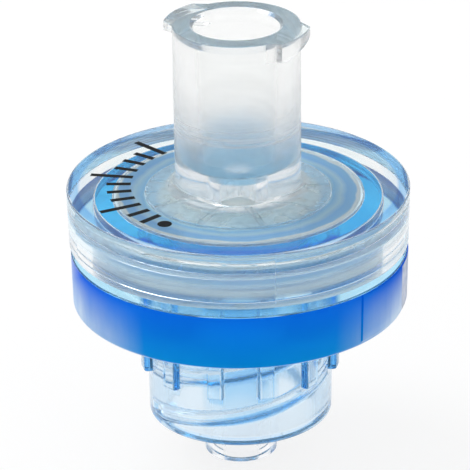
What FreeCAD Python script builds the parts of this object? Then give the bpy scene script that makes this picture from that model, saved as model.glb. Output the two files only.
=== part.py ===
"""Disc syringe filter: a clear inlet shell and a blue outlet shell, welded round a thin membrane.

Millimetres, +Z up along the flow axis, origin at the middle of the male Luer nose's end.
The nose points down, and the female Luer hub with its two locking lugs points up.
"""
import FreeCAD
import Part
import math
import os

# ---- heights along the axis, from the nose's end upwards ----
nose_reach = 2.70            # nose standing out past the collar's mouth
collar_length = 6.63         # collar's mouth to the flange's underside
flange_height = 3.00         # side wall of the blue flange
seam_gap = 0.46              # open seam between the flange and the clear skirt
skirt_height = 3.02          # side wall of the clear shell
hub_height = 9.06            # hub above the clear shell's top face

# ---- the round body ----
skirt_diameter = 18.24
flange_inset = 0.12          # blue flange's side lies this far inside the clear skirt's
side_draft = 0.9             # degrees, the skirt narrows downwards and so does the flange
skirt_edge_bevel = 0.08
flange_edge_bevel = 0.06

# ---- membrane and the weld that holds it ----
membrane_diameter = 13.00
membrane_thickness = 0.16
membrane_margin = 0.14       # platform past the membrane's edge
plate_thickness = 0.95
inlet_chamber_height = 0.35
inlet_chamber_diameter = 9.90
weld_step = 0.40             # weld seat below the clamping face
weld_land = 1.02             # width of the weld seat
weld_gap = 0.02              # face to face distance across the weld seat
spigot_clearance = 0.04      # radial clearance between the shells

# ---- outlet side of the membrane ----
drain_diameter = 10.60
drain_depth = 0.40
drain_fall = 0.15            # floor falls towards the middle
support_rib_count = 12
support_rib_width = 0.35
support_rib_start = 1.70     # radius where the radial ribs begin
support_ring_radii = (2.60, 3.95)
support_ring_width = 0.30
support_ring_drop = 0.12     # ring tops below the radial ribs, so that liquid crosses them

# ---- inlet ceiling ribs ----
inlet_rib_count = 9
inlet_rib_width = 0.30
inlet_rib_height = 0.12
inlet_rib_start = 1.60
inlet_rib_turn = 285.0       # degrees, direction of the first rib

# ---- female Luer hub ----
luer_taper = 0.06            # change of diameter for each unit of length
hub_diameter = 6.70
hub_foot_round = 0.50
socket_gauge_diameter = 4.30
socket_gauge_depth = 0.75
socket_depth = 7.80
lead_in_diameter = 4.56
mouth_chamfer = 0.18
port_diameter = 2.00

# ---- locking lugs on the hub ----
lug_span = 7.70
lug_thickness = 1.06
lug_middle = -30.5           # degrees, direction of the first lug's middle
lug_tip_arc = 45.0           # degrees that the lug's outer face spans
lug_root_arc = 66.0          # degrees that the lug spans on the hub
lug_level_arc = 4.0          # degrees of level underside at the thick end of the outer face

# ---- male Luer nose ----
nose_diameter = 3.93
nose_bore_diameter = 2.00
nose_end_bevel = 0.06

# ---- Luer-lock collar ----
collar_diameter = 9.96
collar_draft = 0.6           # degrees
collar_depth = 5.90          # mouth to the collar's inner floor
collar_mouth_bevel = 0.07    # outer edge of the mouth
collar_lead_in_bevel = 0.15  # inner edge of the mouth
thread_major_diameter = 8.00
thread_minor_diameter = 7.00
thread_lead = 5.00
thread_starts = 2
ridge_base = 1.00            # width of the thread's ridge at the wall
ridge_crest = 0.35
ridge_front_height = 3.95    # ridge's middle above the mouth, at the front (-Y)
ridge_mouth_margin = 0.70    # ridge's middle to the mouth, where it begins
ridge_floor_margin = 0.60    # ridge's middle to the inner floor, where it ends

# ---- grip ribs round the collar ----
grip_rib_count = 12
grip_rib_width = 0.84
grip_rib_proud = 0.42
grip_rib_length = 3.76
grip_rib_round = 0.11
grip_rib_turn = 15.0         # degrees

# ---- plain marking pads ----
pad_proud = 0.07
skirt_pad_arc = (201.5, 281.5)
skirt_pad_lift = 0.15        # pad's edges to the skirt's edges
flange_pad_arc = (318.0, 376.0)
flange_pad_lift = 0.65       # pad's lower edge to the flange's lower face
flange_pad_top_margin = 0.06

BITE = 0.20                  # added features start this far inside the wall that carries them
NEAR = 0.001                 # edges are picked by place to within this distance

# ---- levels worked out from the sizes above ----
collar_mouth_z = nose_reach
flange_bottom_z = collar_mouth_z + collar_length
flange_top_z = flange_bottom_z + flange_height
skirt_bottom_z = flange_top_z + seam_gap
plate_top_z = skirt_bottom_z + skirt_height
rim_z = plate_top_z + hub_height
ceiling_z = plate_top_z - plate_thickness
clamp_z = ceiling_z - inlet_chamber_height
platform_z = clamp_z - membrane_thickness
weld_z = clamp_z - weld_step
seat_z = weld_z - weld_gap
drain_floor_z = platform_z - drain_depth
collar_floor_z = collar_mouth_z + collar_depth

# ---- radii worked out from the sizes above ----
skirt_r = skirt_diameter / 2
flange_r = skirt_r - flange_inset
hub_r = hub_diameter / 2
chamber_r = inlet_chamber_diameter / 2
platform_r = membrane_diameter / 2 + membrane_margin
seat_r = platform_r + weld_land
drain_r = drain_diameter / 2
drain_middle_z = drain_floor_z - drain_fall
major_r = thread_major_diameter / 2
minor_r = thread_minor_diameter / 2


def slope(degrees, length):
    """Sideways change over a length at a draft angle."""
    return math.tan(math.radians(degrees)) * length


def polar(radius, degrees, z=0.0):
    """Point at a radius and direction."""
    turn = math.radians(degrees)
    return FreeCAD.Vector(radius * math.cos(turn), radius * math.sin(turn), z)


def turned(profile):
    """Solid of revolution about Z from (radius, height) corners."""
    points = [FreeCAD.Vector(r, 0, z) for r, z in profile]
    face = Part.Face(Part.makePolygon(points + points[:1]))
    return face.revolve(FreeCAD.Vector(0, 0, 0), FreeCAD.Vector(0, 0, 1), 360)


def rims(solid, *places):
    """Circular edges of a turned solid at (radius, height) places."""
    found = []
    for edge in solid.Edges:
        if isinstance(edge.Curve, Part.Circle):
            for radius, z in places:
                off_radius = abs(edge.Curve.Radius - radius)
                off_height = abs(edge.Curve.Center.z - z)
                if max(off_radius, off_height) < NEAR:
                    found.append(edge)
    return found


def around(piece, count, first=0.0):
    """Copies of a piece spread evenly round the axis."""
    copies = []
    for i in range(count):
        copy = piece.copy()
        copy.rotate(FreeCAD.Vector(0, 0, 0), FreeCAD.Vector(0, 0, 1), first + 360.0 * i / count)
        copies.append(copy)
    return copies


def radial_bar(inner, outer, width, low, high):
    """Straight bar along +X from an inner to an outer radius."""
    return Part.makeBox(outer - inner, width, high - low, FreeCAD.Vector(inner, -width / 2, low))


def arc_block(inner, outer, arc, low, high):
    """Part of a ring between two directions."""
    start, end = arc
    ring = Part.makeCylinder(outer, high - low, FreeCAD.Vector(0, 0, low), FreeCAD.Vector(0, 0, 1), end - start)
    ring.rotate(FreeCAD.Vector(0, 0, 0), FreeCAD.Vector(0, 0, 1), start)
    return ring.cut(Part.makeCylinder(inner, high - low, FreeCAD.Vector(0, 0, low)))


def lug():
    """One locking lug about +X: slanted ends, level top, and an underside that follows the thread."""
    tip_r = lug_span / 2
    root_r = hub_r - BITE
    tip = lug_tip_arc / 2
    root = lug_root_arc / 2
    outline = [
        Part.LineSegment(polar(root_r, -root), polar(hub_r, -root)).toShape(),
        Part.LineSegment(polar(hub_r, -root), polar(tip_r, -tip)).toShape(),
        Part.Arc(polar(tip_r, -tip), polar(tip_r, 0), polar(tip_r, tip)).toShape(),
        Part.LineSegment(polar(tip_r, tip), polar(hub_r, root)).toShape(),
        Part.LineSegment(polar(hub_r, root), polar(root_r, root)).toShape(),
        Part.Arc(polar(root_r, root), polar(root_r, 0), polar(root_r, -root)).toShape(),
    ]
    block = Part.Face(Part.Wire(outline)).extrude(FreeCAD.Vector(0, 0, lug_thickness))
    # the ramp rises at the thread's lead angle from the end of the level stretch
    rise = math.degrees(math.atan(thread_lead / (math.pi * (lug_span + hub_diameter) / 2)))
    cutter_side = lug_span
    ramp = Part.makeBox(cutter_side, cutter_side, cutter_side, FreeCAD.Vector(0, 0, -cutter_side))
    ramp.rotate(FreeCAD.Vector(0, 0, 0), FreeCAD.Vector(1, 0, 0), rise)
    ramp.rotate(FreeCAD.Vector(0, 0, 0), FreeCAD.Vector(0, 0, 1), lug_level_arc - tip)
    shaped = block.cut(ramp)
    shaped.translate(FreeCAD.Vector(0, 0, rim_z - lug_thickness))
    return shaped


def inlet_housing():
    """Clear shell: female Luer hub, flat plate, skirt and the clamping ring over the membrane."""
    port_r = port_diameter / 2
    socket_top_r = socket_gauge_diameter / 2
    socket_end_r = socket_top_r - luer_taper / 2 * (socket_depth - socket_gauge_depth)
    lead_in_r = lead_in_diameter / 2
    socket_floor_z = rim_z - socket_depth
    clamp_r = platform_r + spigot_clearance
    land_r = seat_r + spigot_clearance
    body = turned([
        (port_r, ceiling_z),
        (chamber_r, ceiling_z),
        (chamber_r, clamp_z),
        (clamp_r, clamp_z),
        (clamp_r, weld_z),
        (land_r, weld_z),
        (land_r, skirt_bottom_z),
        (skirt_r - slope(side_draft, skirt_height), skirt_bottom_z),
        (skirt_r, plate_top_z),
        (hub_r, plate_top_z),
        (hub_r, rim_z),
        (lead_in_r + mouth_chamfer, rim_z),
        (lead_in_r, rim_z - mouth_chamfer),
        (socket_top_r, rim_z - socket_gauge_depth),
        (socket_end_r, socket_floor_z),
        (port_r, socket_floor_z),
    ])
    body = body.makeFillet(hub_foot_round, rims(body, (hub_r, plate_top_z)))
    body = body.makeChamfer(skirt_edge_bevel, rims(body, (skirt_r, plate_top_z)))
    rib = radial_bar(inlet_rib_start, chamber_r + BITE, inlet_rib_width,
                     ceiling_z - inlet_rib_height, ceiling_z + BITE)
    pad = arc_block(land_r + BITE, skirt_r + pad_proud, skirt_pad_arc,
                    skirt_bottom_z + skirt_pad_lift, plate_top_z - skirt_pad_lift)
    additions = around(rib, inlet_rib_count, inlet_rib_turn)
    additions += around(lug(), thread_starts, lug_middle)
    additions.append(pad)
    return body.fuse(additions).removeSplitter()


def membrane():
    """Thin round filter disc, clamped at its edge."""
    return Part.makeCylinder(membrane_diameter / 2, membrane_thickness,
                             FreeCAD.Vector(0, 0, platform_z))


def thread_ridge():
    """One start of the collar's internal right-hand thread, about the front (-Y)."""
    low = collar_mouth_z + ridge_mouth_margin
    high = collar_floor_z - ridge_floor_margin
    front = collar_mouth_z + ridge_front_height
    helix = Part.makeHelix(thread_lead, high - low, major_r)
    section = Part.makePolygon([
        FreeCAD.Vector(major_r + BITE, 0, -ridge_base / 2),
        FreeCAD.Vector(major_r, 0, -ridge_base / 2),
        FreeCAD.Vector(minor_r, 0, -ridge_crest / 2),
        FreeCAD.Vector(minor_r, 0, ridge_crest / 2),
        FreeCAD.Vector(major_r, 0, ridge_base / 2),
        FreeCAD.Vector(major_r + BITE, 0, ridge_base / 2),
        FreeCAD.Vector(major_r + BITE, 0, -ridge_base / 2),
    ])
    ridge = Part.Wire(helix).makePipeShell([section], True, True)
    start = -90.0 - 360.0 * (front - low) / thread_lead
    ridge.rotate(FreeCAD.Vector(0, 0, 0), FreeCAD.Vector(0, 0, 1), start)
    ridge.translate(FreeCAD.Vector(0, 0, low))
    return ridge


def grip_rib():
    """One rib on the collar about +X, with its outer and lower edges rounded."""
    bottom = flange_bottom_z - grip_rib_length
    outer = collar_diameter / 2 + slope(collar_draft, collar_length) + grip_rib_proud
    bar = radial_bar(major_r + BITE, outer, grip_rib_width, bottom, flange_bottom_z + BITE)
    long_edges = (outer, grip_rib_width / 2, (bottom + flange_bottom_z + BITE) / 2)
    lower_edge = (outer, 0, bottom)
    rounded = []
    for edge in bar.Edges:
        middle = edge.CenterOfMass
        place = FreeCAD.Vector(middle.x, abs(middle.y), middle.z)
        if min((place - FreeCAD.Vector(*wanted)).Length for wanted in (long_edges, lower_edge)) < NEAR:
            rounded.append(edge)
    return bar.makeFillet(grip_rib_round, rounded)


def outlet_housing():
    """Blue shell: membrane platform, flange, Luer-lock collar and the male Luer nose."""
    nose_r = nose_diameter / 2
    nose_root_r = nose_r + luer_taper / 2 * collar_floor_z
    bore_r = nose_bore_diameter / 2
    collar_r = collar_diameter / 2
    collar_top_r = collar_r + slope(collar_draft, collar_length)
    flange_low_r = flange_r - slope(side_draft, flange_height)
    body = turned([
        (bore_r, 0),
        (nose_r, 0),
        (nose_root_r, collar_floor_z),
        (major_r, collar_floor_z),
        (major_r, collar_mouth_z),
        (collar_r, collar_mouth_z),
        (collar_top_r, flange_bottom_z),
        (flange_low_r, flange_bottom_z),
        (flange_r, flange_top_z),
        (seat_r, flange_top_z),
        (seat_r, seat_z),
        (platform_r, seat_z),
        (platform_r, platform_z),
        (drain_r, platform_z),
        (drain_r, drain_floor_z),
        (bore_r, drain_middle_z),
    ])
    body = body.makeChamfer(nose_end_bevel, rims(body, (nose_r, 0)))
    body = body.makeChamfer(collar_mouth_bevel, rims(body, (collar_r, collar_mouth_z)))
    body = body.makeChamfer(collar_lead_in_bevel, rims(body, (major_r, collar_mouth_z)))
    body = body.makeChamfer(flange_edge_bevel, rims(body, (flange_low_r, flange_bottom_z)))
    bar = radial_bar(support_rib_start, drain_r + BITE, support_rib_width,
                     drain_middle_z - BITE, platform_z)
    additions = around(bar, support_rib_count)
    for radius in support_ring_radii:
        additions.append(arc_block(radius - support_ring_width / 2, radius + support_ring_width / 2,
                                   (0.0, 360.0), drain_middle_z - BITE, platform_z - support_ring_drop))
    additions += around(thread_ridge(), thread_starts)
    additions += around(grip_rib(), grip_rib_count, grip_rib_turn)
    additions.append(arc_block(seat_r + BITE, flange_r + pad_proud, flange_pad_arc,
                               flange_bottom_z + flange_pad_lift, flange_top_z - flange_pad_top_margin))
    return body.fuse(additions).removeSplitter()


def write(name, shape):
    """Writes one piece to its STEP file."""
    solids = shape.Solids
    if len(solids) != 1 or not shape.isValid():
        raise RuntimeError(name + " is not one valid solid")
    solids[0].exportStep("parts/" + name + ".step")
    print(name, "volume", round(solids[0].Volume, 2), "faces", len(solids[0].Faces))


os.makedirs("parts", exist_ok=True)
write("inlet_housing", inlet_housing())
write("membrane", membrane())
write("outlet_housing", outlet_housing())
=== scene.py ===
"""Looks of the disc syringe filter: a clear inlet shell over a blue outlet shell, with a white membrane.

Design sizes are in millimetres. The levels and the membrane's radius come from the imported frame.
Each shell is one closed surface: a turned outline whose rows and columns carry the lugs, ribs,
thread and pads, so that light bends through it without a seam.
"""
import math

import bpy
import numpy as np
from mathutils import Matrix, Vector


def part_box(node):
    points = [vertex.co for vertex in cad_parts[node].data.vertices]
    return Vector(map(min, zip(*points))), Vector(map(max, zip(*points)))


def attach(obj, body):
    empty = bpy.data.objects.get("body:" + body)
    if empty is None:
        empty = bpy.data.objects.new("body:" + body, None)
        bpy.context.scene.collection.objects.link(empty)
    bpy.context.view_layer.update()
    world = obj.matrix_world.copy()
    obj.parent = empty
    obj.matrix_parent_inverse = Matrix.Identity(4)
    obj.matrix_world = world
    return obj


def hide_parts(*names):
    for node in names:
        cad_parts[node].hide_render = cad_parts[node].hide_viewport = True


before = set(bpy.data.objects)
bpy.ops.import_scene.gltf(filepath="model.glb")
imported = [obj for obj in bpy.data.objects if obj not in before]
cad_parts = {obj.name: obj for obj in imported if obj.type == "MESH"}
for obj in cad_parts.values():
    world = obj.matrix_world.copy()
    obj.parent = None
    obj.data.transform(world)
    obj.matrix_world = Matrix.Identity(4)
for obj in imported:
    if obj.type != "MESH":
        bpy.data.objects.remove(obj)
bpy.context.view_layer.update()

MM = 0.001
hair = 0.001                 # a step too small to see

# ---- levels and radii, from the frame's boxes ----
inlet_low, inlet_high = [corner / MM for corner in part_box("inlet_housing")]
outlet_low, outlet_high = [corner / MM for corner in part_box("outlet_housing")]
membrane_low, membrane_high = [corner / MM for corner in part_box("membrane")]

rim_z = inlet_high.z
skirt_bottom_z = inlet_low.z
platform_z = membrane_low.z
clamp_z = membrane_high.z
membrane_r = membrane_high.x
nose_end_z = outlet_low.z
hub_height = 9.06
plate_thickness = 0.95
skirt_r = 9.12
flange_r = 9.00
flange_height = 3.00
seam_gap = 0.46
side_draft = math.tan(math.radians(0.9))

plate_top_z = rim_z - hub_height
ceiling_z = plate_top_z - plate_thickness
flange_top_z = skirt_bottom_z - seam_gap
flange_bottom_z = flange_top_z - flange_height
seat_z = clamp_z - 0.42
drain_floor_z = platform_z - 0.40
drain_middle_z = drain_floor_z - 0.15

# ---- inlet shell ----
hub_r = 3.35
hub_foot_round = 0.50
mouth_r = 2.46
lead_in_r = 2.28
lead_in_depth = 0.18
gauge_r = 2.15
gauge_depth = 0.75
socket_floor_r = 1.94
socket_depth = 7.80
port_r = 1.00
chamber_r = 4.95
platform_r = membrane_r + 0.14
seat_r = platform_r + 1.02
spigot_clearance = 0.04
weld_overlap = 0.004         # the welded faces share this much, so that light passes as through one solid
inlet_rib_count = 9
inlet_rib_width = 0.30
inlet_rib_height = 0.12
inlet_rib_start = 1.60
inlet_rib_turn = 285.0
inlet_rib_mark = 1.7         # degrees from a rib's middle to the columns that carry its edge

# ---- locking lugs: each is level at its tip, and its underside climbs towards one root ----
lug_reach = 0.50
lug_thickness = 1.06
lug_middles = (-30.5, 149.5)
lug_tip_half = 22.5
lug_root_half = 33.0
lug_level_arc = 4.0
lug_slope = 5.0 / (math.pi * 7.2)
lug_inner_round = 0.08
lug_outer_round = 0.05
lug_round_grows = 0.12       # a lug that stands out by less has smaller roundings

# ---- marking pads ----
skirt_pad_arc = (201.5, 281.5)
skirt_pad_soft_rows = 3
flange_pad_arc = (314.7, 376.0)
frost_arc = (341.0, 356.0)
pad_proud = 0.07
pad_edge = 0.15              # degrees over which a pad's ends fall away

# ---- printed marks on the plate ----
mark_first = 134.0
mark_step = 9.0
mark_count = 11
mark_long_every = 4
mark_inner = 5.70
mark_middle = 7.00
mark_outer = 8.00
mark_width = 0.34
mark_dot_r = 0.38
ink_gap = hair
ink_film = 0.006

# ---- outlet shell ----
bore_r = 1.00
nose_r = 1.965
nose_root_r = 2.22
collar_mouth_z = 2.70
collar_floor_z = 8.60
collar_r = 4.98
collar_top_r = 5.05
major_r = 4.00
thread_height = 0.50
thread_lead = 5.00
thread_starts = 2
thread_front_z = 6.65
thread_low_z = 3.02
thread_high_z = 8.00
thread_end = 0.06
thread_crest_half = 0.13
thread_root_half = 0.50
grip_rib_count = 12
grip_rib_turn = 15.0
grip_rib_half = 0.42
grip_rib_r = 5.47
grip_rib_bottom_z = flange_bottom_z - 3.76
grip_rib_round = 0.11
grip_rib_base = math.degrees(math.asin(grip_rib_half / collar_top_r))
grip_rib_top = math.degrees(math.asin(grip_rib_half / grip_rib_r))
drain_r = 5.30
support_rib_count = 12
support_rib_width = 0.35
support_rib_start = 1.70
support_rib_mark = 2.0       # degrees from a rib's middle to the columns that carry its edge

# ---- membrane ----
membrane_press = 0.003
membrane_hole_r = 0.02

# ---- plastic ----
clear_face = (0.987, 0.995, 0.991)
no_tint = (1, 1, 1)
blue_sheen = (0.5, 0.8, 1.0)
refraction = 1.50
hub_roughest = 0.265         # above about 0.27, a denoised render shows a hard line on the hub
hub_finest = 0.13
noise_low, noise_high = 0.38, 0.62       # the noise seldom leaves these values

# ---- camera ----
camera_distance = 160.0
camera_elevation = 24.78
camera_target = (-0.203, 0, 12.795)
camera_roll = -0.71
camera_sensor = 36.0
camera_lens = 229.12


# ---------------------------------------------------------------- outlines and grids

def rounded(before, here, after, rounding):
    """Points of one corner of an outline: the corner itself, or an arc where it is rounded."""
    if rounding <= 0:
        return [here]
    back = (before - here) / np.linalg.norm(before - here)
    on = (after - here) / np.linalg.norm(after - here)
    half = math.acos(np.clip(np.dot(back, on), -1, 1)) / 2
    reach = rounding / math.tan(half)
    middle = here + (back + on) / np.linalg.norm(back + on) * rounding / math.sin(half)
    start = here + back * reach - middle
    end = here + on * reach - middle
    sweep = math.pi - 2 * half
    steps = max(2, int(round(sweep / math.radians(18))))
    arc = []
    for k in range(steps + 1):
        t = k / steps
        mix = (math.sin((1 - t) * sweep) * start + math.sin(t * sweep) * end) / math.sin(sweep)
        arc.append(middle + mix)
    return arc


def outline(corners):
    """Names and points of the rows of a closed outline.

    A corner is (name, radius, height, rounding, rows up to the next corner). The rows of the corner
    itself have its name, and those up to the next corner have the name followed by ">".
    """
    count = len(corners)
    flat = [np.array(corner[1:3], float) for corner in corners]
    bends = [rounded(flat[i - 1], flat[i], flat[(i + 1) % count], corners[i][3]) for i in range(count)]
    names, rows = [], []
    for i, (name, _, _, _, between) in enumerate(corners):
        last, following = bends[i][-1], bends[(i + 1) % count][0]
        names += [name] * len(bends[i]) + [name + ">"] * between
        rows += bends[i]
        rows += [last + (following - last) * k / (between + 1) for k in range(1, between + 1)]
    return np.array(names), np.array(rows)


def runs(*corners):
    """Names of the rows of some corners and of the rows that follow each of them."""
    return corners + tuple(corner + ">" for corner in corners)


def rows_named(names, *members):
    """Numbers of the rows that have one of these names."""
    return np.where(np.isin(names, members))[0]


def columns(spacing, special):
    """Directions round the axis, in degrees: an even spread that gives way to the special ones."""
    special = sorted(set(round(a % 360.0, 4) for a in special))
    even = np.arange(0, 360, spacing)
    marks = np.array(special)
    far = [a for a in even if np.min(np.abs((marks - a + 180) % 360 - 180)) > spacing * 0.4]
    return np.array(sorted(list(marks) + far))


def beside(centre, edge, soft):
    """Directions at both edges of a form round a centre, and a little inside and outside them."""
    return [centre + side * edge + d for side in (-1, 1) for d in (-soft, 0, soft)]


def pad_ends(arc):
    """Directions close to both ends of a marking pad."""
    return [end + d for end in arc for d in (-0.3, -0.12, 0.12, 0.3)]


def grids(turns, rows):
    """(column, row) grids of direction, radius and height for a plain turned form."""
    angle = np.repeat(turns[:, None], len(rows), 1)
    radius = np.repeat(rows[None, :, 0], len(turns), 0)
    height = np.repeat(rows[None, :, 1], len(turns), 0)
    return angle, radius, height


def turn_from(angles, centre):
    """Signed distance in degrees from a direction."""
    return (angles - centre + 180.0) % 360.0 - 180.0


def nearest(angles, count, first):
    """Signed distance in degrees from the nearest of several evenly spread directions."""
    step = 360.0 / count
    return (angles - first + step / 2) % step - step / 2


def ramp(x, low, high):
    """0 below low, 1 above high, with a soft rise between."""
    t = np.clip((x - low) / (high - low), 0, 1)
    return t * t * (3 - 2 * t)


def window(x, low, high, edge):
    """1 between low and high, and 0 outside them."""
    return ramp(x, low - edge, low + edge) * (1 - ramp(x, high - edge, high + edge))


def even_width(local, count, mark, width, radius):
    """Distances from a rib's middle, moved so that its marked edge keeps its width at this radius."""
    spread = 180.0 / count
    edge = math.degrees(math.asin(width / 2 / radius))
    size = np.abs(local)
    inside = size / mark * edge
    outside = edge + (size - mark) / (spread - mark) * (spread - edge)
    return np.sign(local) * np.where(size <= mark, inside, outside)


def raise_pad(names, turns, radius, arc, soft_rows=0):
    """Marking pad on an outer wall. It rises over its first rows where soft_rows is given."""
    in_arc = window((turns - 180) % 360 + 180, arc[0], arc[1], pad_edge)
    for n, i in enumerate(rows_named(names, "pad_start", "pad_start>", "pad_end")):
        risen = n / soft_rows if n < soft_rows else 1.0
        radius[:, i] += pad_proud * in_arc * risen


def finishes(names, turns, materials, groups):
    """Material number of each (column, row) face. Rows that no group names have the first material."""
    order = list(materials)
    rows = np.zeros(len(names), int)
    for key, members in groups.items():
        rows[np.isin(names, members)] = order.index(key)
    return np.tile(rows, (len(turns), 1))


def smooth_normals(points, quads):
    """Unit normal at each point, from the faces that meet there."""
    corner = points[quads]
    across = np.cross(corner[:, 2] - corner[:, 0], corner[:, 3] - corner[:, 1])
    normal = np.zeros_like(points)
    for k in range(4):
        np.add.at(normal, quads[:, k], across)
    length = np.linalg.norm(normal, axis=1, keepdims=True)
    return normal / np.where(length > 0, length, 1)


def linked(name, data):
    """New object in the scene."""
    piece = bpy.data.objects.new(name, data)
    bpy.context.scene.collection.objects.link(piece)
    return piece


def surface(name, angle, radius, height, materials, finish):
    """Closed mesh from (column, row) grids of direction, radius, height and material number."""
    turns, rows = radius.shape
    phi = np.radians(angle)
    points = np.stack([radius * np.cos(phi), radius * np.sin(phi), height], -1).reshape(-1, 3) * MM
    j, i = np.meshgrid(np.arange(turns), np.arange(rows), indexing="ij")
    j2, i2 = (j + 1) % turns, (i + 1) % rows
    quads = np.stack([j * rows + i, j2 * rows + i, j2 * rows + i2, j * rows + i2], -1).reshape(-1, 4)
    mesh = bpy.data.meshes.new(name)
    mesh.vertices.add(len(points))
    mesh.vertices.foreach_set("co", points.astype(np.float32).ravel())
    mesh.loops.add(quads.size)
    mesh.loops.foreach_set("vertex_index", quads.astype(np.int32).ravel())
    mesh.polygons.add(len(quads))
    mesh.polygons.foreach_set("loop_start", np.arange(0, quads.size, 4, dtype=np.int32))
    mesh.polygons.foreach_set("use_smooth", np.ones(len(quads), bool))
    mesh.polygons.foreach_set("material_index", finish.astype(np.int32).ravel())
    for material in materials:
        mesh.materials.append(material)
    mesh.update()
    mesh.normals_split_custom_set_from_vertices(smooth_normals(points, quads).tolist())
    return linked(name, mesh)


# ---------------------------------------------------------------- inlet shell

def inlet_outline():
    """Rows of the clear shell: chamber, clamping ring, skirt, plate, hub and socket."""
    land_r = seat_r + spigot_clearance
    clamp_r = platform_r + spigot_clearance
    weld_z = seat_z - weld_overlap
    low_r = skirt_r - side_draft * (plate_top_z - skirt_bottom_z)
    socket_floor_z = rim_z - socket_depth
    return outline([
        ("port", port_r, ceiling_z, 0.08, 1),
        ("rib_foot", inlet_rib_start - 0.10, ceiling_z, 0, 0),
        ("rib_head", inlet_rib_start, ceiling_z, 0, 4),
        ("ceiling", hub_r - 0.15, ceiling_z, 0, 4),
        ("chamber_top", chamber_r, ceiling_z, 0.05, 1),
        ("chamber_low", chamber_r, clamp_z, 0.04, 2),
        ("clamp", clamp_r, clamp_z, 0.04, 1),
        ("weld_in", clamp_r, weld_z, 0.05, 2),
        ("weld_out", land_r, weld_z, 0.06, 2),
        ("skirt_in", land_r, skirt_bottom_z, 0.05, 2),
        ("skirt_low", low_r, skirt_bottom_z, 0.07, 0),
        ("pad_low", low_r, skirt_bottom_z + 0.11, 0, 0),
        ("pad_start", low_r, skirt_bottom_z + 0.24, 0, 5),
        ("pad_end", skirt_r, plate_top_z - 0.20, 0, 0),
        ("pad_top", skirt_r, plate_top_z - 0.16, 0, 0),
        ("skirt_top", skirt_r, plate_top_z, 0.07, 0),
        ("plate_edge", skirt_r - 0.09, plate_top_z, 0, 9),
        ("foot", hub_r, plate_top_z, hub_foot_round, 8),
        ("lug_root", hub_r, rim_z - lug_thickness - 0.08, 0, 8),
        ("rim", hub_r, rim_z, 0.07, 2),
        ("mouth", mouth_r, rim_z, 0.03, 0),
        ("lead_in", lead_in_r, rim_z - lead_in_depth, 0.05, 1),
        ("gauge", gauge_r, rim_z - gauge_depth, 0.20, 10),
        ("socket_floor", socket_floor_r, socket_floor_z, 0.15, 1),
        ("port_top", port_r, socket_floor_z - hair, 0.06, 3),
    ])


def inlet_columns():
    """Directions of the clear shell's columns, with some at the edges of lugs, ribs and pad."""
    special = pad_ends(skirt_pad_arc)
    for middle in lug_middles:
        special += beside(middle, lug_tip_half, 0.5) + beside(middle, lug_root_half, 0.5)
    for k in range(inlet_rib_count):
        centre = inlet_rib_turn + 360.0 * k / inlet_rib_count
        special += [centre] + beside(centre, inlet_rib_mark, 0.35)
    return columns(1.0, special)


def raise_inlet_ribs(names, rows, turns, angle, height):
    """Radial ribs of even width under the plate."""
    local = nearest(turns, inlet_rib_count, inlet_rib_turn)
    stands = 1 - ramp(np.abs(local), inlet_rib_mark - 0.3, inlet_rib_mark + 0.3)
    for i in rows_named(names, *runs("rib_foot", "rib_head", "ceiling"), "chamber_top"):
        moved = even_width(local, inlet_rib_count, inlet_rib_mark, inlet_rib_width, rows[i, 0])
        angle[:, i] = turns - local + moved
    for i in rows_named(names, *runs("rib_head", "ceiling")):
        height[:, i] -= inlet_rib_height * stands


def lug_offset(angles):
    """How far the lugs stand out from the hub at each direction. A straight flank joins tip and root."""
    tip_turn, root_turn = math.radians(lug_tip_half), math.radians(lug_root_half)
    tip = (hub_r + lug_reach) * np.array([math.cos(tip_turn), math.sin(tip_turn)])
    root = hub_r * np.array([math.cos(root_turn), math.sin(root_turn)])
    along = root - tip
    out = np.zeros_like(angles)
    for middle in lug_middles:
        away = np.abs(turn_from(angles, middle))
        phi = np.radians(np.clip(away, lug_tip_half, lug_root_half))
        crossed = tip[0] * along[1] - tip[1] * along[0]
        flank = crossed / (np.cos(phi) * along[1] - np.sin(phi) * along[0])
        here = np.where(away <= lug_tip_half, lug_reach, np.where(away < lug_root_half, flank - hub_r, 0))
        out = np.maximum(out, here)
    return out


def lug_underside(angles):
    """Height of the lugs' underside at each direction. Between lugs it runs back to the next start."""
    middle_r = hub_r + lug_reach / 2
    start = -lug_tip_half + lug_level_arc
    local = (turn_from(angles, lug_middles[0]) + 90.0) % 180.0 - 90.0
    climb = np.clip(local, start, lug_root_half) - start
    rise = middle_r * np.sin(np.radians(climb)) * lug_slope
    top = middle_r * math.sin(math.radians(lug_root_half - start)) * lug_slope
    after = np.where(local > lug_root_half, local - lug_root_half, 0)
    past = np.where(local < -lug_root_half, local + 180 - lug_root_half, after)
    gap = 180 - 2 * lug_root_half
    return rim_z - lug_thickness + np.where(past > 0, top * (1 - ramp(past, 0, gap)), rise)


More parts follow.
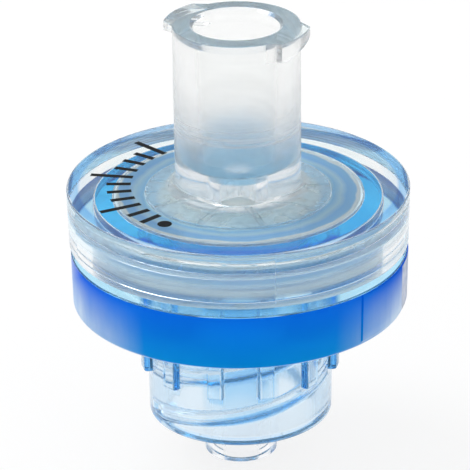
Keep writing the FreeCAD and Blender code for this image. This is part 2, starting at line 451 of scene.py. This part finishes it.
def raise_lugs(names, rows, turns, radius, height):
    """Lugs: the wall's last rows follow the underside, then turn out to the lug and up to the rim."""
    out = lug_offset(turns)
    under = lug_underside(turns)
    share = np.clip(out / lug_round_grows, 0, 1)
    inner, outer = lug_inner_round, lug_outer_round
    quarter_turn = np.radians([0.0, 30.0, 60.0, 90.0])
    foot_top = rows[rows_named(names, "foot")[-1], 1]
    wall = rows_named(names, "foot>")
    for n, i in enumerate(wall):
        height[:, i] = foot_top + (under - 2 * inner - foot_top) * (n + 1) / len(wall)
    steps = []
    for phi in quarter_turn:
        steps.append((hub_r + share * inner * (1 - math.cos(phi)), under - inner + inner * math.sin(phi)))
    for phi in quarter_turn:
        turned_out = np.maximum(out - share * outer, 0) + share * outer * math.sin(phi) * (out > 0)
        steps.append((hub_r + turned_out, under + 10 * hair + outer - outer * math.cos(phi)))
    steps.append((hub_r + out, (under + rim_z) / 2))
    for (r, z), i in zip(steps, rows_named(names, *runs("lug_root"))):
        radius[:, i] = r
        height[:, i] = z
    for i in rows_named(names, "rim"):
        radius[:, i] += out
    top_face = rows_named(names, "rim>")
    for n, i in enumerate(top_face):
        radius[:, i] += out * (len(top_face) - n) / (len(top_face) + 1)


def inlet_shell(materials):
    """Clear shell: hub with lugs, plate, skirt, pad, clamping ring and inlet ribs."""
    names, rows = inlet_outline()
    turns = inlet_columns()
    angle, radius, height = grids(turns, rows)
    raise_inlet_ribs(names, rows, turns, angle, height)
    raise_pad(names, turns, radius, skirt_pad_arc, skirt_pad_soft_rows)
    raise_lugs(names, rows, turns, radius, height)
    finish = finishes(names, turns, materials, {
        "weld": runs("weld_out", "skirt_in"),
        "satin": runs("ceiling", "chamber_top", "clamp", "rib_head") + ("port", "rib_foot"),
        "hub": runs("lug_root") + ("foot>", "lead_in>"),
        "rim": runs("rim"),
        "floor": runs("socket_floor") + ("port_top",),
        "socket": runs("gauge"),
        "plate": runs("plate_edge"),
        "wall": runs("pad_start") + ("skirt_low", "pad_low", "pad_end", "pad_top"),
        "foot": ("foot",),
    })
    for end in skirt_pad_arc:
        close = np.abs(turn_from(turns, end)) < 0.25
        finish[np.ix_(close, np.isin(names, runs("pad_start")))] = list(materials).index("satin")
    return surface("inlet_shell", angle, radius, height, materials.values(), finish)


# ---------------------------------------------------------------- outlet shell

def outlet_outline():
    """Rows of the blue shell: nose, inside of the collar, collar, flange, seat, platform, drain and bore.

    Where a rib or the pad begins and ends, the wall turns by a hair, so that no two rows lie in one line.
    """
    low_r = flange_r - side_draft * flange_height
    rib_land_r = collar_r + 0.03
    return outline([
        ("bore_end", bore_r, nose_end_z, 0.08, 1),
        ("nose_end", nose_r, nose_end_z, 0.08, 8),
        ("nose_root", nose_root_r, collar_floor_z, 0.10, 1),
        ("floor", major_r, collar_floor_z, 0.10, 66),
        ("lead_in", major_r, collar_mouth_z + 0.15, 0, 0),
        ("mouth", major_r + 0.15, collar_mouth_z, 0.06, 1),
        ("collar", collar_r, collar_mouth_z, 0.08, 4),
        ("rib_under", rib_land_r, grip_rib_bottom_z - 0.02, 0, 0),
        ("rib_arc", rib_land_r + hair / 10, grip_rib_bottom_z, 0, 3),
        ("rib_wall", rib_land_r + hair, grip_rib_bottom_z + grip_rib_round, 0, 5),
        ("collar_top", collar_top_r, flange_bottom_z, 0.08, 3),
        ("flange_low", low_r, flange_bottom_z, 0.12, 0),
        ("pad_low", low_r + 5 * hair, flange_bottom_z + 0.20, 0, 0),
        ("pad_start", low_r + 6 * hair, flange_bottom_z + 0.26, 0, 5),
        ("pad_end", flange_r - 3 * hair, flange_top_z - 0.14, 0, 0),
        ("pad_top", flange_r - 2 * hair, flange_top_z - 0.10, 0, 0),
        ("flange_top", flange_r, flange_top_z, 0.08, 1),
        ("spigot_foot", seat_r, flange_top_z, 0.05, 1),
        ("seat", seat_r, seat_z, 0.06, 1),
        ("step", platform_r, seat_z, 0.04, 0),
        ("platform", platform_r, platform_z, 0.04, 1),
        ("drain_edge", drain_r, platform_z, 0.04, 0),
        ("drain_foot", drain_r, drain_floor_z, 0.05, 10),
        ("drain_mid", support_rib_start, drain_middle_z, 0, 0),
        ("drain_in", support_rib_start - 0.08, drain_middle_z, 0, 0),
        ("bore_top", bore_r, drain_middle_z, 0.08, 2),
        ("bore_low", bore_r, collar_floor_z, 0, 4),
    ])


# profile of a grip rib: degrees from its middle, and the share of its height there
grip_rib_marks = [
    grip_rib_top - 1.10, grip_rib_top - 0.30, grip_rib_top + 0.05, grip_rib_base, grip_rib_base + 0.25,
]
grip_rib_shares = [1, 0.96, 0.74, 0.03, 0]


def outlet_columns():
    """Directions of the blue shell's columns, with some at the edges of ribs and pad."""
    special = pad_ends(flange_pad_arc)
    for k in range(grip_rib_count):
        centre = grip_rib_turn + 360.0 * k / grip_rib_count
        special += [centre] + [centre + side * d for side in (-1, 1) for d in grip_rib_marks]
    for k in range(support_rib_count):
        centre = 360.0 * k / support_rib_count
        special += [centre] + beside(centre, support_rib_mark, 0.3)
    return columns(1.25, special)


def raise_thread(names, rows, turns, radius):
    """Right-handed ridges inside the collar, with several starts."""
    pitch = thread_lead / thread_starts
    for i in rows_named(names, "floor>"):
        climb = thread_front_z + thread_lead * (turns + 90.0) / 360.0
        off = (rows[i, 1] - climb + pitch / 2) % pitch - pitch / 2
        middle = rows[i, 1] - off
        ridge = 1 - ramp(np.abs(off), thread_crest_half, thread_root_half)
        radius[:, i] -= thread_height * ridge * window(middle, thread_low_z, thread_high_z, thread_end)


def raise_grip_ribs(names, rows, turns, radius):
    """Ribs with parallel sides and a rounded lower end outside the collar."""
    away = np.abs(nearest(turns, grip_rib_count, grip_rib_turn))
    crown = np.interp(away, [0] + grip_rib_marks, [1] + grip_rib_shares)
    for i in rows_named(names, *runs("rib_arc", "rib_wall")):
        up = np.clip((rows[i, 1] - grip_rib_bottom_z) / grip_rib_round, 0, 1)
        full = grip_rib_r - grip_rib_round * (1 - math.sin(math.acos(1 - up)))
        radius[:, i] += (full - rows[i, 0]) * crown
    for i in rows_named(names, "collar_top"):
        radius[:, i] = np.maximum(radius[:, i], collar_top_r + (grip_rib_r - collar_top_r) * crown)


def raise_support_ribs(names, rows, turns, angle, height):
    """Radial ribs of even width in the drain, which carry the membrane."""
    local = nearest(turns, support_rib_count, 0.0)
    stands = 1 - ramp(np.abs(local), support_rib_mark - 0.25, support_rib_mark + 0.25)
    for i in rows_named(names, "drain_foot>", "drain_mid"):
        moved = even_width(local, support_rib_count, support_rib_mark, support_rib_width, rows[i, 0])
        angle[:, i] = turns - local + moved
        height[:, i] += (platform_z - 0.005 - height[:, i]) * stands


def on_grip_rib_flank(turns):
    """Whether the face between each column and the next lies on the flank of a grip rib."""
    between = turns + turn_from(np.roll(turns, -1), turns) / 2
    away = np.abs(nearest(between, grip_rib_count, grip_rib_turn))
    return (away > grip_rib_top - 0.30) & (away < grip_rib_base + 0.10)


def outlet_shell(materials):
    """Blue shell: seat, drain, flange with pad, collar with grip ribs and thread, and nose."""
    names, rows = outlet_outline()
    turns = outlet_columns()
    angle, radius, height = grids(turns, rows)
    raise_thread(names, rows, turns, radius)
    raise_grip_ribs(names, rows, turns, radius)
    raise_pad(names, turns, radius, flange_pad_arc)
    raise_support_ribs(names, rows, turns, angle, height)
    finish = finishes(names, turns, materials, {
        "flange": runs("flange_low", "pad_start") + ("pad_low", "pad_end", "pad_top"),
        "bore": ("floor>",),
        "top": runs("flange_top"),
        "deep": runs("nose_root", "drain_foot", "bore_top") + ("floor", "drain_mid", "drain_in"),
        "seat": runs("seat"),
        "bottom": runs("collar_top", "platform") + ("step",),
        "spigot": runs("spigot_foot"),
        "nose": runs("nose_end", "bore_low") + ("bore_end",),
    })
    order = list(materials)
    frosted = (turns > frost_arc[0]) & (turns < frost_arc[1])
    finish[np.ix_(frosted, np.isin(names, runs("pad_start")))] = order.index("frost")
    # painted shade: the grip ribs' flanks get a deeper blue finish, for the dark bars seen where they turn
    # away
    flank = on_grip_rib_flank(turns)
    finish[np.ix_(flank, np.isin(names, runs("rib_arc", "rib_wall")))] = order.index("flank")
    return surface("outlet_shell", angle, radius, height, materials.values(), finish)


# ---------------------------------------------------------------- membrane and print

def filter_disc(material):
    """Membrane, pressed a hair into both clamping faces."""
    low_z, top_z = platform_z - membrane_press, clamp_z + membrane_press
    names, rows = outline([
        ("middle_low", membrane_hole_r, low_z, 0, 6),
        ("edge_low", membrane_r, low_z, 0.03, 0),
        ("edge_top", membrane_r, top_z, 0.03, 6),
        ("middle_top", membrane_hole_r, top_z, 0, 0),
    ])
    turns = np.arange(0, 360, 2.0)
    angle, radius, height = grids(turns, rows)
    return surface("filter_disc", angle, radius, height, [material], np.zeros(radius.shape, int))


def pointing(degrees):
    """Unit vector of a direction on the plate."""
    return np.array([math.cos(math.radians(degrees)), math.sin(math.radians(degrees))])


def ink_marks(material):
    """Plain printed scale on the plate: long and short radial bars and a dot, in flat black ink."""
    corners, faces = [], []

    def patch(points):
        """Thin film with the given outline."""
        first = len(corners)
        count = len(points)
        for level in (plate_top_z + ink_gap, plate_top_z + ink_gap + ink_film):
            corners.extend((x * MM, y * MM, level * MM) for x, y in points)
        faces.append(tuple(first + k for k in reversed(range(count))))
        faces.append(tuple(first + count + k for k in range(count)))
        for k in range(count):
            after = (k + 1) % count
            faces.append((first + k, first + after, first + count + after, first + count + k))

    for k in range(mark_count):
        low, high = mark_inner, mark_middle if k % mark_long_every else mark_outer
        along = pointing(mark_first + mark_step * k)
        across = np.array([-along[1], along[0]]) * mark_width / 2
        patch([along * low - across, along * high - across, along * high + across, along * low + across])
    dot = (mark_inner + mark_middle) / 2 * pointing(mark_first + mark_step * mark_count)
    patch([dot + mark_dot_r * pointing(360.0 * k / 32) for k in range(32)])
    mesh = bpy.data.meshes.new("ink_marks")
    mesh.from_pydata(corners, [], faces)
    mesh.materials.append(material)
    return linked("ink_marks", mesh)


# ---------------------------------------------------------------- nodes

def add(tree, kind, inputs, **settings):
    """New node. Each input is a socket to link, a number or a colour, and settings are the node's own."""
    node = tree.nodes.new(kind)
    for key, value in settings.items():
        setattr(node, key, value)
    for key, value in inputs.items():
        socket = node.inputs[key]
        if isinstance(value, bpy.types.NodeSocket):
            tree.links.new(value, socket)
        elif socket.type == "RGBA":
            socket.default_value = (*value, 1)
        else:
            socket.default_value = value
    return node


def new_material(name):
    """Material without nodes, and its node tree."""
    material = bpy.data.materials.new(name)
    material.use_nodes = True
    material.node_tree.nodes.clear()
    return material, material.node_tree


def show(tree, shader):
    """Use a shader as the surface of its material."""
    add(tree, "ShaderNodeOutputMaterial", {"Surface": shader})


def mixed(tree, share, first, second):
    """Mix of two shaders. share is a socket or a plain number."""
    return add(tree, "ShaderNodeMixShader", {0: share, 1: first, 2: second}).outputs[0]


def blend(tree, share, first, second):
    """Mix of two colours."""
    return add(tree, "ShaderNodeMix", {0: share, 6: first, 7: second}, data_type="RGBA").outputs[2]


def mapped(tree, value, low, high, to_low=0.0, to_high=1.0):
    """Value stretched from one range to another, and held at its ends."""
    ends = {"From Min": low, "From Max": high, "To Min": to_low, "To Max": to_high}
    return add(tree, "ShaderNodeMapRange", {"Value": value, **ends}).outputs[0]


def maths(tree, operation, first, second, **settings):
    """Two values added, multiplied or compared."""
    return add(tree, "ShaderNodeMath", {0: first, 1: second}, operation=operation, **settings).outputs[0]


def place(tree):
    """Place on the object, in metres."""
    return add(tree, "ShaderNodeTexCoord", {}).outputs["Object"]


def streaks(tree, waves, detail=3.0):
    """Noise stretched along the object's axes. waves is its count per metre along each."""
    stretched = add(tree, "ShaderNodeMapping", {"Vector": place(tree), "Scale": waves}).outputs[0]
    noise = add(tree, "ShaderNodeTexNoise", {"Vector": stretched, "Scale": 1.0, "Detail": detail})
    return noise.outputs["Fac"]


def height_share(tree, low, high, to_low=0.0, to_high=1.0):
    """Value that runs from one height of the part to another, in millimetres."""
    split = add(tree, "ShaderNodeSeparateXYZ", {0: place(tree)})
    return mapped(tree, split.outputs["Z"], low * MM, high * MM, to_low, to_high)


def distance_out(tree):
    """Distance from the part's axis, in metres."""
    flat = add(tree, "ShaderNodeVectorMath", {0: place(tree), 1: (1, 1, 0)}, operation="MULTIPLY")
    return add(tree, "ShaderNodeVectorMath", {0: flat.outputs[0]}, operation="LENGTH").outputs["Value"]


def radial_tone(tree, distance, outermost, stops):
    """Colour by distance from the axis. A stop is (radius in millimetres, colour)."""
    tone = add(tree, "ShaderNodeValToRGB", {0: mapped(tree, distance, 0.0, outermost * MM)})
    marks = tone.color_ramp.elements
    marks[0].position, marks[0].color = stops[0][0] / outermost, (*stops[0][1], 1)
    marks[1].position, marks[1].color = stops[-1][0] / outermost, (*stops[-1][1], 1)
    for radius, colour in stops[1:-1]:
        marks.new(radius / outermost).color = (*colour, 1)
    return tone.outputs[0]


def facing_away(tree, low, high, most):
    """Share of gloss that grows from nothing to most as the surface is seen at a lower angle."""
    slant = add(tree, "ShaderNodeLayerWeight", {})
    return mapped(tree, slant.outputs["Facing"], low, high, 0.0, most)


def glass_body(tree, face, roughness, sheen=no_tint):
    """Clear plastic surface. face tints what passes it and sheen what it reflects."""
    return add(tree, "ShaderNodeBsdfPrincipled", {
        "Base Color": face,
        "Transmission Weight": 1.0,
        "IOR": refraction,
        "Roughness": roughness,
        "Specular Tint": sheen,
    }).outputs[0]


def milk(tree, colour, passing):
    """Milky bloom. passing is the share of it that lets light through."""
    bloom = add(tree, "ShaderNodeBsdfDiffuse", {"Color": colour})
    glow = add(tree, "ShaderNodeBsdfTranslucent", {"Color": colour})
    return mixed(tree, passing, bloom.outputs[0], glow.outputs[0])


def soft_gloss(tree, colour, roughness):
    """Pale blurred reflection."""
    return add(tree, "ShaderNodeBsdfGlossy", {"Color": colour, "Roughness": roughness}).outputs[0]


# ---------------------------------------------------------------- materials

def plastic(name, face, roughness, sheen=no_tint):
    """Clear plastic with an even surface."""
    material, tree = new_material(name)
    show(tree, glass_body(tree, face, roughness, sheen))
    return material


def streaked_plastic(name, face, roughness, waves, veil, colour, passing, sheen=no_tint):
    """Clear plastic with milky streaks. waves is their count per metre, and veil their least and most."""
    material, tree = new_material(name)
    share = mapped(tree, streaks(tree, waves), noise_low, noise_high, *veil)
    show(tree, mixed(tree, share, glass_body(tree, face, roughness, sheen), milk(tree, colour, passing)))
    return material


def hub_plastic(name):
    """Outer wall of the hub: almost polished at its foot, brushed above, milkiest a third of the way up."""
    material, tree = new_material(name)
    begun = height_share(tree, plate_top_z + 1.0, plate_top_z + 2.2, 0.25, 1.0)
    rough = height_share(tree, plate_top_z + 3.6, plate_top_z + 7.0, hub_roughest, hub_finest)
    body = glass_body(tree, clear_face, maths(tree, "MULTIPLY", begun, rough))
    brushed = mapped(tree, streaks(tree, (150, 150, 4500)), noise_low, noise_high, 0.14, 0.44)
    up = height_share(tree, plate_top_z + 2.2, plate_top_z + 3.8)
    down = height_share(tree, plate_top_z + 5.4, plate_top_z + 3.4, 0.06, 1.0)
    share = maths(tree, "MULTIPLY", brushed, maths(tree, "MULTIPLY", up, down))
    show(tree, mixed(tree, share, body, milk(tree, (0.98, 0.99, 0.99), 0.35)))
    return material


def socket_plastic(name, floor_z):
    """Socket wall: clear above, with a milky bloom that thickens towards its floor; its blue is painted
    light from the blue shell below.
    """
    material, tree = new_material(name)
    share = height_share(tree, floor_z + 0.2, floor_z + 2.2, 0.40, 0.0)
    # painted light: the bloom's blue stands in for the blue shell below
    bloom = milk(tree, (0.42, 0.75, 1.0), 0.7)
    show(tree, mixed(tree, share, glass_body(tree, clear_face, 0.22), bloom))
    return material


def plate_plastic_painted_blue(name):
    """Top face of the plate, with painted blue light that changes from ring to ring: a deep blue band near
    the edge stands in for the blue flange seen through the plate, and the faint cast inward stands in for
    blue light from the parts below.
    """
    material, tree = new_material(name)
    # painted light: the clear plate's blue is the blue shell seen through it
    tone = radial_tone(tree, distance_out(tree), 9.2, [
        (3.2, (0.92, 1.0, 1.0)),
        (4.6, (0.92, 1.0, 1.0)),
        (5.2, (0.86, 0.98, 1.0)),
        (7.2, (0.84, 0.97, 1.0)),
        (7.80, (0.99, 1.0, 1.0)),
        (7.95, (0.84, 0.94, 0.99)),
        (8.38, (0.76, 0.90, 0.98)),
        (8.55, (0.15, 0.46, 0.93)),
        (8.98, (0.22, 0.52, 0.95)),
        (9.04, (0.85, 0.95, 1.0)),
    ])
    show(tree, glass_body(tree, tone, 0.04))
    return material


def collar_bore_plastic(name):
    """Inside wall of the collar, with painted shade on the thread ridges that stand in from it: their flanks
    are bluer, for the dark bands that bent light gives there.
    """
    material, tree = new_material(name)
    # painted shade: deep blue on the ridges' flanks, pale at their crests and between them
    tone = radial_tone(tree, distance_out(tree), 4.2, [
        (3.50, (0.85, 0.95, 1.0)),
        (3.58, (0.75, 0.90, 1.0)),
        (3.66, (0.22, 0.55, 0.90)),
        (3.88, (0.28, 0.60, 0.92)),
        (3.975, (0.92, 0.97, 1.0)),
        (4.10, (0.92, 0.97, 1.0)),
    ])
    show(tree, glass_body(tree, tone, 0.20, blue_sheen))
    return material


def nose_plastic(name):
    """Nose cone: bluer inside the collar, which is painted shade where the blue collar surrounds it, and
    almost clear below its mouth.
    """
    material, tree = new_material(name)
    # painted shade: the nose turns bluer where the collar surrounds it
    inside = height_share(tree, collar_mouth_z - 0.1, collar_mouth_z + 0.6)
    tone = blend(tree, inside, (0.985, 0.99, 1.0), (0.70, 0.87, 0.99))
    show(tree, glass_body(tree, tone, 0.08, (0.9, 0.96, 1.0)))
    return material


def seat_plastic(name):
    """Blue seat: deep blue, paler in spots where painted sheen stands in for reflection at gaps that the
    weld left, with a soft white gloss where it is seen at a low angle.
    """
    material, tree = new_material(name)
    # painted sheen: paler blue spots stand in for reflection at unwelded gaps
    painted_sheen_patches = mapped(tree, streaks(tree, (260, 260, 260)), 0.42, 0.58)
    tone = blend(tree, painted_sheen_patches, (0.0003, 0.22, 0.80), (0.002, 0.30, 0.94))
    body = glass_body(tree, tone, 0.10, (0.3, 0.7, 1.0))
    gloss = soft_gloss(tree, (0.80, 0.92, 1.0), 0.45)
    show(tree, mixed(tree, facing_away(tree, 0.20, 0.50, 0.7), body, gloss))
    return material


def flange_plastic(name):
    """Flange edge: painted shade, royal blue above under the skirt and brighter below, and a pale soft gloss
    where it turns away.
    """
    material, tree = new_material(name)
    # painted shade: the blue deepens towards the top, under the overhanging skirt, and is brighter below
    up = height_share(tree, flange_bottom_z, flange_top_z)
    tone = blend(tree, up, (0.0002, 0.26, 0.74), (0.0002, 0.10, 0.86))
    shaded_paint = add(tree, "ShaderNodeBsdfDiffuse", {"Color": tone}).outputs[0]
    body = glass_body(tree, (0.0005, 0.32, 0.98), 0.45, (0.01, 0.40, 1.0))
    low = height_share(tree, flange_top_z - 0.2, flange_bottom_z + 0.5)
    uneven = mapped(tree, streaks(tree, (500, 500, 160)), 0.35, 0.65, 0.55, 0.95)
    turned = maths(tree, "MULTIPLY", facing_away(tree, 0.28, 0.75, 1.0), low)
    patchy = maths(tree, "MULTIPLY", turned, uneven)
    share = maths(tree, "MAXIMUM", patchy, facing_away(tree, 0.70, 0.92, 0.45))
    gloss = soft_gloss(tree, (0.80, 0.90, 1.0), 0.55)
    show(tree, mixed(tree, share, mixed(tree, 0.72, body, shaded_paint), gloss))
    return material


def membrane_material(name):
    """White membrane, bluer in bands where it is clamped thin over the blue seat: painted light, the blue
    below showing through. The bands have uneven edges.
    """
    material, tree = new_material(name)
    wander = 0.30 * MM
    mottle = mapped(tree, streaks(tree, (450, 450, 450), 2.0), 0.0, 1.0, -wander, wander)
    distance = maths(tree, "ADD", distance_out(tree), mottle)
    # painted light: blue bands standing in for the blue shell seen through the white membrane
    painted_blue_rings = [
        (0.00, (0.94, 0.99, 0.97)),
        (0.66, (0.94, 0.99, 0.97)),
        (0.70, (0.40, 0.72, 1.00)),
        (0.76, (0.62, 0.86, 1.00)),
        (0.79, (0.34, 0.68, 1.00)),
        (0.85, (0.58, 0.82, 1.00)),
        (0.90, (0.30, 0.62, 1.00)),
        (0.965, (0.34, 0.66, 1.00)),
        (0.98, (0.95, 0.98, 1.00)),
        (1.00, (0.90, 0.96, 1.00)),
    ]
    tone = radial_tone(tree, distance, membrane_r, [(share * membrane_r, colour) for share, colour in painted_blue_rings])
    show(tree, milk(tree, tone, 0.15))
    return material


def ink_material():
    """Flat black ink."""
    material, tree = new_material("black_ink")
    show(tree, add(tree, "ShaderNodeBsdfPrincipled", {
        "Base Color": (0.004, 0.005, 0.007),
        "Roughness": 0.60,
        "Specular IOR Level": 0.15,
    }).outputs[0])
    return material


# ---------------------------------------------------------------- studio

def seen_directly(tree):
    """1 for what the camera sees, straight or in glass and gloss, and 0 for what lights the object."""
    path = add(tree, "ShaderNodeLightPath", {}).outputs
    clear = maths(tree, "MAXIMUM", path["Is Camera Ray"], path["Is Transmission Ray"])
    return maths(tree, "MAXIMUM", clear, path["Is Glossy Ray"])


def studio_world():
    """White surroundings, dimmer towards the front, with a dusky belt above the horizon in reflections."""
    world = bpy.data.worlds.new("studio")
    bpy.context.scene.world = world
    world.use_nodes = True
    tree = world.node_tree
    tree.nodes.clear()
    around = add(tree, "ShaderNodeTexCoord", {}).outputs["Generated"]
    split = add(tree, "ShaderNodeSeparateXYZ", {0: around}).outputs
    front = mapped(tree, split["Y"], -0.75, -0.15, 0.90, 1.0)
    overhead = mapped(tree, split["Z"], 0.50, 0.75, 0.50, 1.0)
    path = add(tree, "ShaderNodeLightPath", {}).outputs
    mirrored = maths(tree, "SUBTRACT", path["Is Glossy Ray"], path["Is Transmission Ray"], use_clamp=True)
    strength = add(tree, "ShaderNodeMix", {0: mirrored, 2: front, 3: overhead}, data_type="FLOAT").outputs[0]
    light = add(tree, "ShaderNodeBackground", {"Color": no_tint, "Strength": 0.75}).outputs[0]
    shown = add(tree, "ShaderNodeBackground", {"Color": no_tint, "Strength": strength}).outputs[0]
    add(tree, "ShaderNodeOutputWorld", {0: mixed(tree, seen_directly(tree), light, shown)})


def studio_floor():
    """Pale floor that looks white and keeps the object's shadow."""
    material, tree = new_material("white_floor")
    face = add(tree, "ShaderNodeBsdfDiffuse", {"Color": (0.9, 0.9, 0.9)}).outputs[0]
    glow = add(tree, "ShaderNodeEmission", {"Color": no_tint, "Strength": 1.0}).outputs[0]
    show(tree, mixed(tree, maths(tree, "MULTIPLY", seen_directly(tree), 0.85), face, glow))
    bpy.ops.mesh.primitive_plane_add(size=6.0, location=(0, 0, -0.00002))
    floor = bpy.context.object
    floor.name = "floor"
    floor.data.materials.append(material)


def soft_lamp(name, position, target, size, watts):
    """Round area lamp, turned to its target."""
    data = bpy.data.lights.new(name, "AREA")
    data.shape = "DISK"
    data.size = size
    data.energy = watts
    lamp = linked(name, data)
    lamp.location = position
    lamp.rotation_euler = (Vector(target) - Vector(position)).to_track_quat("-Z", "Y").to_euler()


def camera():
    """Camera in front of the part and a little above it."""
    data = bpy.data.cameras.new("camera")
    data.sensor_width = camera_sensor
    data.lens = camera_lens
    data.clip_start = 0.001
    data.dof.use_dof = False
    eye = linked("camera", data)
    elevation = math.radians(camera_elevation)
    target = Vector(camera_target)
    position = target + camera_distance * Vector((0, -math.cos(elevation), math.sin(elevation)))
    look = (target - position).to_track_quat("-Z", "Y").to_matrix().to_4x4()
    roll = Matrix.Rotation(math.radians(camera_roll), 4, "Z")
    eye.matrix_world = Matrix.Translation(position * MM) @ look @ roll
    bpy.context.scene.camera = eye


# ---------------------------------------------------------------- build

clear_finishes = {
    "plain": plastic("clear_plastic", clear_face, roughness=0.04),
    "weld": plastic("clear_plastic_weld", clear_face, roughness=0.06, sheen=(0.2, 0.6, 1.0)),
    # the milky satin streaks are a real finish; their blue is painted light from the blue parts below
    "satin": streaked_plastic(
        "clear_plastic_satin", clear_face, roughness=0.25,
        waves=(900, 900, 900), veil=(0.15, 0.45), colour=(0.66, 0.86, 1.0), passing=0.4),
    "hub": hub_plastic("clear_plastic_hub"),
    # painted light: the rim's faint blue tint stands in for the blue inside, seen through the hub wall
    "rim": plastic("clear_plastic_rim", (0.86, 0.97, 1.0), roughness=0.10),
    # painted light: the clear socket floor is tinted and veiled blue for the blue shell seen through it
    "floor": streaked_plastic(
        "clear_plastic_floor", (0.28, 0.66, 1.0), roughness=0.26,
        waves=(900, 900, 900), veil=(0.22, 0.46), colour=(0.52, 0.80, 1.0), passing=0.5),
    "socket": socket_plastic("clear_plastic_socket", rim_z - socket_depth),
    "plate": plate_plastic_painted_blue("clear_plastic_plate"),
    # the milky streaks are real; their blue is painted light from the blue spigot behind the skirt
    "wall": streaked_plastic(
        "clear_plastic_wall", clear_face, roughness=0.06,
        waves=(40, 40, 2500), veil=(0.0, 0.34), colour=(0.60, 0.86, 1.0), passing=0.0),
    "foot": streaked_plastic(
        "clear_plastic_foot", clear_face, roughness=0.12,
        waves=(700, 700, 700), veil=(0.05, 0.22), colour=(0.86, 0.93, 0.95), passing=0.5),
}
blue_finishes = {
    "plain": plastic("blue_plastic", (0.66, 0.835, 0.99), roughness=0.04, sheen=blue_sheen),
    "flange": flange_plastic("blue_plastic_flange"),
    "bore": collar_bore_plastic("blue_plastic_bore"),
    "top": plastic("blue_plastic_top", (0.30, 0.74, 1.0), roughness=0.10, sheen=blue_sheen),
    "deep": plastic("blue_plastic_deep", (0.60, 0.85, 1.0), roughness=0.30, sheen=(0.60, 0.85, 1.0)),
    "seat": seat_plastic("blue_plastic_seat"),
    "bottom": plastic("blue_plastic_bottom", (0.80, 0.93, 1.0), roughness=0.10, sheen=(0.3, 0.7, 1.0)),
    "spigot": streaked_plastic(
        "blue_plastic_spigot", (0.38, 0.74, 1.0), roughness=0.12, sheen=(0.8, 0.93, 1.0),
        waves=(50, 50, 2200), veil=(0.0, 0.85), colour=(0.76, 0.92, 1.0), passing=0.0),
    "nose": nose_plastic("blue_plastic_nose"),
    "frost": streaked_plastic(
        "blue_plastic_frost", (0.35, 0.55, 0.95), roughness=0.40, sheen=blue_sheen,
        waves=(2600, 2600, 2600), veil=(0.35, 0.85), colour=(0.84, 0.88, 0.97), passing=0.1),
    # painted shade on the grip ribs' flanks
    "flank": plastic("blue_plastic_flank", (0.12, 0.46, 0.93), roughness=0.08, sheen=blue_sheen),
}

pieces = [
    (inlet_shell(clear_finishes), "inlet_housing", "clear_plastic"),
    (outlet_shell(blue_finishes), "outlet_housing", "blue_plastic"),
    (filter_disc(membrane_material("membrane_white")), "membrane", "filter_membrane"),
]
for piece, node, slot in pieces:
    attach(piece, "root")
    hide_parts(node)

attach(ink_marks(ink_material()), "root")

studio_world()
studio_floor()
soft_lamp("key", position=(-0.25, 0.10, 0.40), target=(0, 0, 0.012), size=0.30, watts=1.2)
camera()

scene = bpy.context.scene
scene.view_settings.view_transform = "Standard"
scene.cycles.max_bounces = 40
scene.cycles.transmission_bounces = 40
scene.cycles.glossy_bounces = 12
scene.cycles.transparent_max_bounces = 16
scene.cycles.sample_clamp_indirect = 4.0
